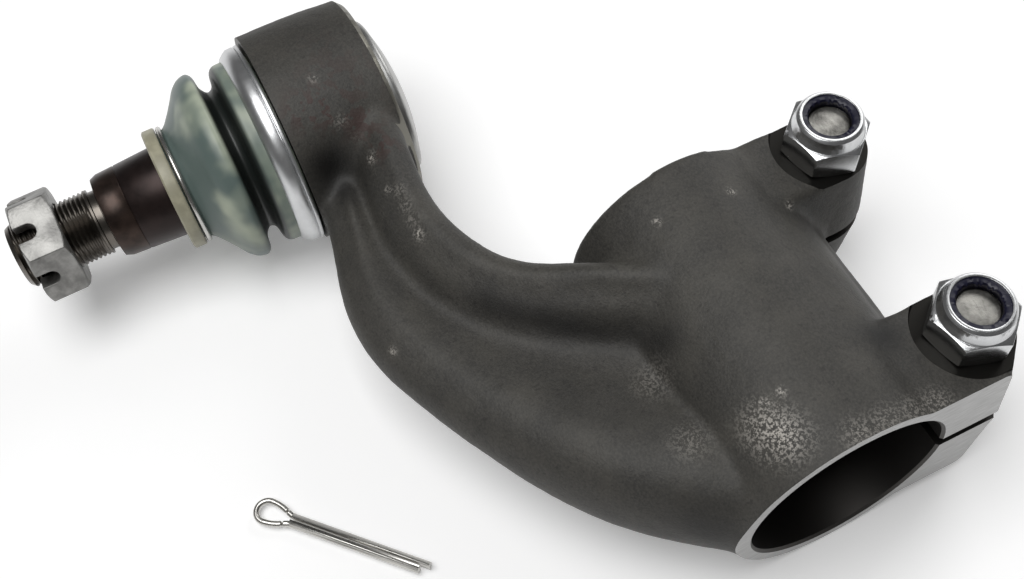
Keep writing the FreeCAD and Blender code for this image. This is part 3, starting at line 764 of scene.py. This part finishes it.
def mark_forging(body):
    """Nicks, rubbed patches, heat stains on the housing, and painted shade in hollows and on shaded sides."""
    nicks = [(-129, -78, 33), (-103, -73, 20), (-90, -73, 20), (-72, -71, 19), (-46, -93, 8),
             (-34, -13, 32), (27, -16, 30), (27, -11, 32), (-32, 10, 33), (-24, 25, 25)]
    arm_ridge = along((-116, -76, 26), (-103, -72, 20), 3) + along((-87, -70, 21), (-71, -71, 19), 4)
    tube_rub = [(35, -18, 29), (31, -20, 28), (39, -16, 30)]
    web_rub = [(1, -34, 15), (23, -35, 18)]
    mouth_edge = along((47, -1, 34), (47, 24, 26), 4)
    housing_stain = [(-120, -78, 29), (-114, -70, 23), (-103, -68, 24), (-122, -86, 30)]
    web_end = [(-108, -83, 17), (-105, -84, 12)]
    web_foot = along((-44, -62, 15), (-24, -46, 16), 4) + along((-18, -40, 16), (-5, -26, 21), 3)
    marks = [
        ("wear", nicks, 1.2, 0.75),
        ("wear", arm_ridge, 2.2, 0.3),
        ("wear", tube_rub, 6.0, 0.45),
        ("wear", web_rub, 5.5, 0.25),
        ("wear", mouth_edge, 4.3, 0.4),
        ("stain", housing_stain, 5.0, 0.9),
        ("stain", [(-125, -72, 30)], 13.0, 0.5),
        # Painted shade: hollows and sides turned from the lamps, painted nearly black
        ("painted_shade", web_end, 6.5, 0.85),
        ("painted_shade", web_foot, 5.3, 0.62),
        ("painted_shade", [(24, 23, 27)], 6.0, 0.9),
        ("painted_shade", [(8, -44, 17), (-2, -57, 15)], 9.0, 0.35),
        ("painted_shade", [(40, -42, 8), (44, -37, 3)], 9.0, 0.45),
    ]
    for name, places, reach, strength in marks:
        mark(body, name, places, reach, strength)


def make_forging(settings):
    """The forged body, machined and marked."""
    body = paint(forging_blank(settings), forged_skin(settings))
    machine(body, settings)
    shade(body, 40)
    mark_forging(body)
    place_piece(body, "root", "forged_steel", "forged_body")


def mark_boot(boot):
    """Pale bloom on the big fold's crest and the slope below it, and painted shade in the fold by the band."""
    crest = [round_stud(angle, 31, 37) for angle in range(48, 114, 8)]
    slope = [round_stud(33 - 9 * i, 27.5 + i, 44.5 - 1.2 * i) for i in range(5)]
    far_side = [round_stud(angle, 28, 44) for angle in (76, 90, 106)]
    mark(boot, "bloom", crest, 3.8, 0.5)
    mark(boot, "bloom", slope, 4.2, 0.55)
    mark(boot, "bloom", far_side, 5.0, 0.42)
    # Painted shade: the fold by the band is painted near black, fading in over 1.5 mm and out over 1 mm
    painted_shade = boot.data.attributes.new("painted_shade", "FLOAT", "POINT").data
    bloom = boot.data.attributes["bloom"].data
    fold_start = 28.4
    fold_end = 36.8
    cuff_end = 29.5
    for vertex in boot.data.vertices:
        height = stud_height(vertex.co)
        past_start = min(1.0, max(0.0, (height - fold_start) / 1.5))
        before_end = min(1.0, max(0.0, fold_end - height))
        painted_shade[vertex.index].value = 0.93 * past_start * before_end
        if height < cuff_end:
            bloom[vertex.index].value = 0.45


def make_boot(settings):
    """The boot: a cuff under the band, a tight fold, the big fold and the slope to the small end."""
    outline = smooth_line([(30.6, 18.6), (30.7, 26.2), (30.0, 29.8), (23.6, 33.0), (25.0, 35.0),
                           (31.2, 37.2), (31.3, 39.6), (29.4, 42.8), (25.2, 46.0), (21.3, 49.0),
                           (18.9, 51.3), (18.2, 53.2), (18.1, 55.4), (18.0, 57.4)])
    boot = stud_lathe("rubber_boot", outline)
    wall = boot.modifiers.new("Wall", "SOLIDIFY")
    wall.thickness = settings.wall
    wall.offset = -1
    apply_all(boot)
    mark_boot(boot)
    shade(paint(boot, bloomed_rubber(settings)), 60)
    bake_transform(boot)
    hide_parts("boot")


def make_boot_band(settings):
    """The band that holds the boot's big end, with a rolled rim and a sloping nose."""
    outline = [(30.7, 19.2), (33.8, 19.2), (33.8, 20.1), (33.2, 20.3), (33.2, 20.5), (33.7, 20.7),
               (33.6, 23.0), (32.9, 24.2), (31.6, 25.8), (31.1, 26.0), (30.7, 26.0)]
    band = stud_lathe("zinc_boot_band", outline, closed=True)
    soften(band, 0.15)
    # Pressed steel strip with bright zinc: mirrors the room in soft streaks
    shade(paint(band, plain_metal("Zinc-plated pressing", settings.zinc, 0.33)), 40)
    place_piece(band, "root", "zinc_steel", "boot_band")


def make_lip_and_wire(settings):
    """The cream ring and the round wire at the boot's small end."""
    outline = [(15.5, 57.5), (18.3, 57.5), (18.3, 54.5), (19.9, 53.9), (20.3, 54.4), (20.3, 57.7),
               (19.7, 58.2), (15.5, 58.2)]
    lip = stud_lathe("cream_lip_ring", outline, closed=True)
    soften(lip, 0.12)
    # Moulded acetal: cream and faintly waxy
    shade(paint(lip, moulded("Moulded acetal", settings.lip, 0.42)), 40)
    place_piece(lip, "collar", "lip_plastic", "boot_lip_ring")
    wire = stud_lathe("round_wire_ring", round_section(WIRE_RING_R, WIRE_HEIGHT, WIRE_R), closed=True)
    # Drawn spring wire: smooth, with one thin bright line along it
    shade(paint(wire, plain_metal("Spring wire", linear(0xC4C3BF), 0.25)), 60)
    place_piece(wire, "collar", "spring_steel", "boot_wire_ring")


def stud_outline():
    """The stud from its shank through the 1 in 8 taper, its groove and neck to the thread's end."""
    cone_end = TAPER_R - (TAPER_END - TAPER_START) / 16
    shank = [(0, 0), (SHANK_R, 0), (SHANK_R, 36), (14.7, 43), (TAPER_R, TAPER_START)]
    groove = [(14.39, GROOVE - 0.3), (14.1, GROOVE), (14.35, GROOVE + 0.3)]
    shoulder = [(cone_end + 0.15, 76.4), (cone_end - 0.7, TAPER_END)]
    neck = [(NECK_R, 79.2), (NECK_R, THREAD_START)]
    thread = [(THREAD_R, THREAD_START + THREAD_ROW * i) for i in range(1, THREAD_ROWS + 1)]
    return shank + groove + shoulder + neck + thread + [(9.6, THREAD_END), (0, THREAD_END)]


def make_stud(settings):
    """The stud with its cut thread."""
    stud = stud_lathe("threaded_stud", stud_outline())
    cut_thread(stud, settings)
    shade(stud, 50)
    # Ground taper browned by hot oil: dark with a soft sheen, its mottled small end given a painted highlight.
    # Rolled thread: a little brighter, as its crests are rubbed.
    paint(stud,
          plain_metal("Browned taper", settings.taper, 0.36, 0.7, 2.5, 0.03, 0.35),
          plain_metal("Taper end painted highlight", linear(0x42352F), 0.34, 0.7, 2.0, 0.05, 0.6),
          plain_metal("Rolled thread", linear(0x6B6660), 0.3, 1.0, 1.0, 0.02, 0.3))
    # Faces past the groove take the painted highlight, and faces past the neck the thread
    for face in stud.data.polygons:
        height = stud_height(face.center)
        face.material_index = int(height > GROOVE) + int(height > NECK)
    place_piece(stud, "stud", "dark_steel", "ball_stud")


def cut_thread(stud, settings):
    """Moves the threaded length in and out as one helix, faded in over its first turns."""
    first = THREAD_START + THREAD_ROW / 2
    last = THREAD_START + THREAD_ROW * (THREAD_ROWS + 0.5)
    for vertex in stud.data.vertices:
        height = stud_height(vertex.co)
        if first < height < last:
            across = vertex.co - BALL_CENTRE - STUD_AXIS * height * MM
            turn = math.atan2(across.z, across.x) / (2 * math.pi)
            wave = abs(2 * ((height * MM / settings.pitch - turn) % 1) - 1)
            fade = min(1.0, (height - THREAD_START) / THREAD_FADE)
            vertex.co -= across.normalized() * THREAD_DEPTH * MM * wave * fade


def make_castle_nut(settings):
    """The slotted nut on the stud."""
    # Phosphated steel: grey and grainy, so that it breaks the light up
    steel = plain_metal("Phosphated steel", settings.nut, 0.44, 0.85, 0.9, 0.2, 0.55)
    finish_copy("castle_nut", "slotted_nut", "stud", "phosphated_steel", steel, 0.35, 3)


def make_clamp_fasteners(settings):
    """The clamp's bolts, lock nuts and nylon inserts."""
    # Bright zinc plate: almost a mirror
    zinc = plain_metal("Bright zinc plate", settings.zinc, 0.24, 1.0, 2.0, 0.03, 0.15)
    # Sheared bolt end with thin zinc: rough, pale and blotched
    end_steel = plain_metal("Bolt end", linear(0xB8B6B0), 0.42, 1.0, 0.8, 0.2, 0.7)
    # Moulded nylon: deep blue with a soft shine
    nylon = moulded("Nylon", settings.nylon, 0.4)
    for place in BOLT_X:
        finish_copy("lock_nut_" + place, "nut_" + place, "root", "zinc_steel", zinc, 0.3, 3)
        finish_copy("clamp_bolt_" + place, "bolt_" + place, "root", "zinc_steel", end_steel, 0.25)
        finish_copy("nut_insert_" + place, "insert_" + place, "root", "blue_nylon", nylon)


def make_inner_parts():
    """The bearing, springs and cover, which keep their CAD shapes and get their finishes."""
    # Moulded acetal is off-white and waxy, rolled and hardened spring steel grey and smooth, old zinc
    # on the pressed cover dull, and the moulded seal black and matte
    finishes = {
        "front_bearing_shell": moulded("Bearing acetal", linear(0xD8D2C0), 0.4),
        "rear_bearing_shell": moulded("Bearing acetal rear", linear(0xD8D2C0), 0.4),
        "spring_seat": plain_metal("Spring steel", linear(0x8A8A88), 0.35),
        "disc_spring": plain_metal("Hardened spring steel", linear(0x6F6F70), 0.35),
        "end_cover": plain_metal("Zinc-plated cover", linear(0xB4B4B2), 0.42),
        "cover_snap_ring": plain_metal("Snap ring steel", linear(0x4A4A4A), 0.4),
        "cover_seal_ring": moulded("Seal rubber", linear(0x161616), 0.5),
    }
    for node, material in finishes.items():
        paint(frame["nodes"][node], material)


def make_pin(settings):
    """The loose split pin."""
    # Drawn steel: bright and smooth along its length
    steel = plain_metal("Drawn steel", settings.steel, 0.28, 1.0, 1.5, 0.02)
    finish_copy("split_pin", "cotter_pin", "loose_pin", "bright_steel", steel)


def floor_material(settings):
    """Matte white paper, which glows a little for the camera, reflections and glass alone."""
    material = bpy.data.materials.new("Pale floor")
    material.use_nodes = True
    tree = material.node_tree
    tree.nodes.clear()
    camera = add_node(tree, "LightPath", output="Is Camera Ray")
    glossy = add_node(tree, "LightPath", output="Is Glossy Ray")
    through = add_node(tree, "LightPath", output="Is Transmission Ray")
    seen = add_node(tree, "Math", {0: camera, 1: glossy}, operation="ADD")
    seen = add_node(tree, "Math", {0: seen, 1: through}, operation="ADD", use_clamp=True)
    glow = add_node(tree, "Emission", {"Color": WHITE, "Strength": FLOOR_GLOW})
    dark = add_node(tree, "Emission", {"Color": BLACK, "Strength": 0.0})
    lit = add_node(tree, "MixShader", {0: seen, 1: dark, 2: glow})
    matte = add_node(tree, "BsdfDiffuse", {"Color": settings.floor})
    both = add_node(tree, "AddShader", {0: matte, 1: lit})
    add_node(tree, "OutputMaterial", {"Surface": both})
    return material


def make_stage(settings):
    """Pale floor, soft lamps and the camera."""
    bpy.ops.mesh.primitive_plane_add(size=FLOOR_SIZE, location=(0, 0, FLOOR_Z))
    floor = bpy.context.object
    floor.name = "floor"
    paint(floor, floor_material(settings))

    world = bpy.data.worlds.new("Room")
    bpy.context.scene.world = world
    world.use_nodes = True
    world.node_tree.nodes.clear()
    sky = add_node(world.node_tree, "Background", {"Color": WHITE, "Strength": settings.sky})
    add_node(world.node_tree, "OutputWorld", {"Surface": sky})

    lamp("Key", place=(-0.05, -0.28, 0.94), size=0.7, power=settings.key_power)
    lamp("Rim", place=(-0.45, 0.72, 0.5), size=0.6, power=settings.rim_power)

    camera = bpy.data.objects.new("Camera", bpy.data.cameras.new("Camera"))
    bpy.context.scene.collection.objects.link(camera)
    camera.location = Vector(CAMERA_PLACE) * MM
    camera.rotation_euler = Euler([math.radians(angle) for angle in CAMERA_TURN])
    camera.data.lens = settings.lens
    camera.data.sensor_width = SENSOR_WIDTH
    camera.data.clip_start = 0.01
    bpy.context.scene.camera = camera
    bpy.context.scene.view_settings.view_transform = "Standard"


def lamp(name, place, size, power):
    """A square soft box aimed at the middle of the joint."""
    light = bpy.data.lights.new(name, "AREA")
    light.size = size
    light.energy = power
    holder = bpy.data.objects.new(name, light)
    bpy.context.scene.collection.objects.link(holder)
    holder.location = place
    aim = Vector((-0.05, -0.03, 0)) - Vector(place)
    holder.rotation_euler = aim.to_track_quat("-Z", "Y").to_euler()


class BALLJOINT_OT_forging(Operator):
    """Model the forged body and machine it"""
    bl_idname = "ball_joint.forging"
    bl_label = "Forging"

    def execute(self, context):
        make_forging(context.scene.ball_joint_forging)
        return {"FINISHED"}


class BALLJOINT_OT_boot(Operator):
    """Model the boot, its band, its wire and its lip ring"""
    bl_idname = "ball_joint.boot"
    bl_label = "Boot and rings"

    def execute(self, context):
        make_boot(context.scene.ball_joint_boot)
        make_boot_band(context.scene.ball_joint_fasteners)
        make_lip_and_wire(context.scene.ball_joint_boot)
        return {"FINISHED"}


class BALLJOINT_OT_stud(Operator):
    """Model the threaded stud and its slotted nut"""
    bl_idname = "ball_joint.stud"
    bl_label = "Stud and nut"

    def execute(self, context):
        make_stud(context.scene.ball_joint_stud)
        make_castle_nut(context.scene.ball_joint_stud)
        return {"FINISHED"}


class BALLJOINT_OT_clamp_fasteners(Operator):
    """Finish the clamp's bolts, lock nuts and nylon inserts"""
    bl_idname = "ball_joint.clamp_fasteners"
    bl_label = "Clamp bolts and nuts"

    def execute(self, context):
        make_clamp_fasteners(context.scene.ball_joint_fasteners)
        return {"FINISHED"}


class BALLJOINT_OT_inner_parts(Operator):
    """Finish the bearing, springs and cover"""
    bl_idname = "ball_joint.inner_parts"
    bl_label = "Bearing and cover"

    def execute(self, context):
        make_inner_parts()
        return {"FINISHED"}


class BALLJOINT_OT_pin(Operator):
    """Finish the loose split pin"""
    bl_idname = "ball_joint.pin"
    bl_label = "Split pin"

    def execute(self, context):
        make_pin(context.scene.ball_joint_pin)
        return {"FINISHED"}


class BALLJOINT_OT_stage(Operator):
    """Set up the floor, the lamps and the camera"""
    bl_idname = "ball_joint.stage"
    bl_label = "Stage"

    def execute(self, context):
        make_stage(context.scene.ball_joint_stage)
        return {"FINISHED"}


OPERATORS = (
    BALLJOINT_OT_forging,
    BALLJOINT_OT_boot,
    BALLJOINT_OT_stud,
    BALLJOINT_OT_clamp_fasteners,
    BALLJOINT_OT_inner_parts,
    BALLJOINT_OT_pin,
    BALLJOINT_OT_stage,
)
SETTINGS = {
    "ball_joint_stage": StageSettings,
    "ball_joint_forging": ForgingSettings,
    "ball_joint_boot": BootSettings,
    "ball_joint_stud": StudSettings,
    "ball_joint_fasteners": FastenerSettings,
    "ball_joint_pin": PinSettings,
}


class BALLJOINT_PT_sidebar(Panel):
    """Lists the pieces in the 3D view's sidebar"""
    bl_idname = "BALLJOINT_PT_sidebar"
    bl_label = "Ball Joint"
    bl_space_type = "VIEW_3D"
    bl_region_type = "UI"
    bl_category = "Ball Joint"

    def draw(self, context):
        for operator in OPERATORS:
            self.layout.operator(operator.bl_idname)


CLASSES = tuple(SETTINGS.values()) + OPERATORS + (BALLJOINT_PT_sidebar,)


def register():
    for item in CLASSES:
        bpy.utils.register_class(item)
    for name, group in SETTINGS.items():
        setattr(bpy.types.Scene, name, PointerProperty(type=group))


def unregister():
    for name in SETTINGS:
        delattr(bpy.types.Scene, name)
    for item in reversed(CLASSES):
        bpy.utils.unregister_class(item)


def main():
    register()
    bpy.ops.ball_joint.forging()
    bpy.ops.ball_joint.boot()
    bpy.ops.ball_joint.stud()
    bpy.ops.ball_joint.clamp_fasteners()
    bpy.ops.ball_joint.inner_parts()
    bpy.ops.ball_joint.pin()
    bpy.ops.ball_joint.stage()


if __name__ == "__main__":
    main()
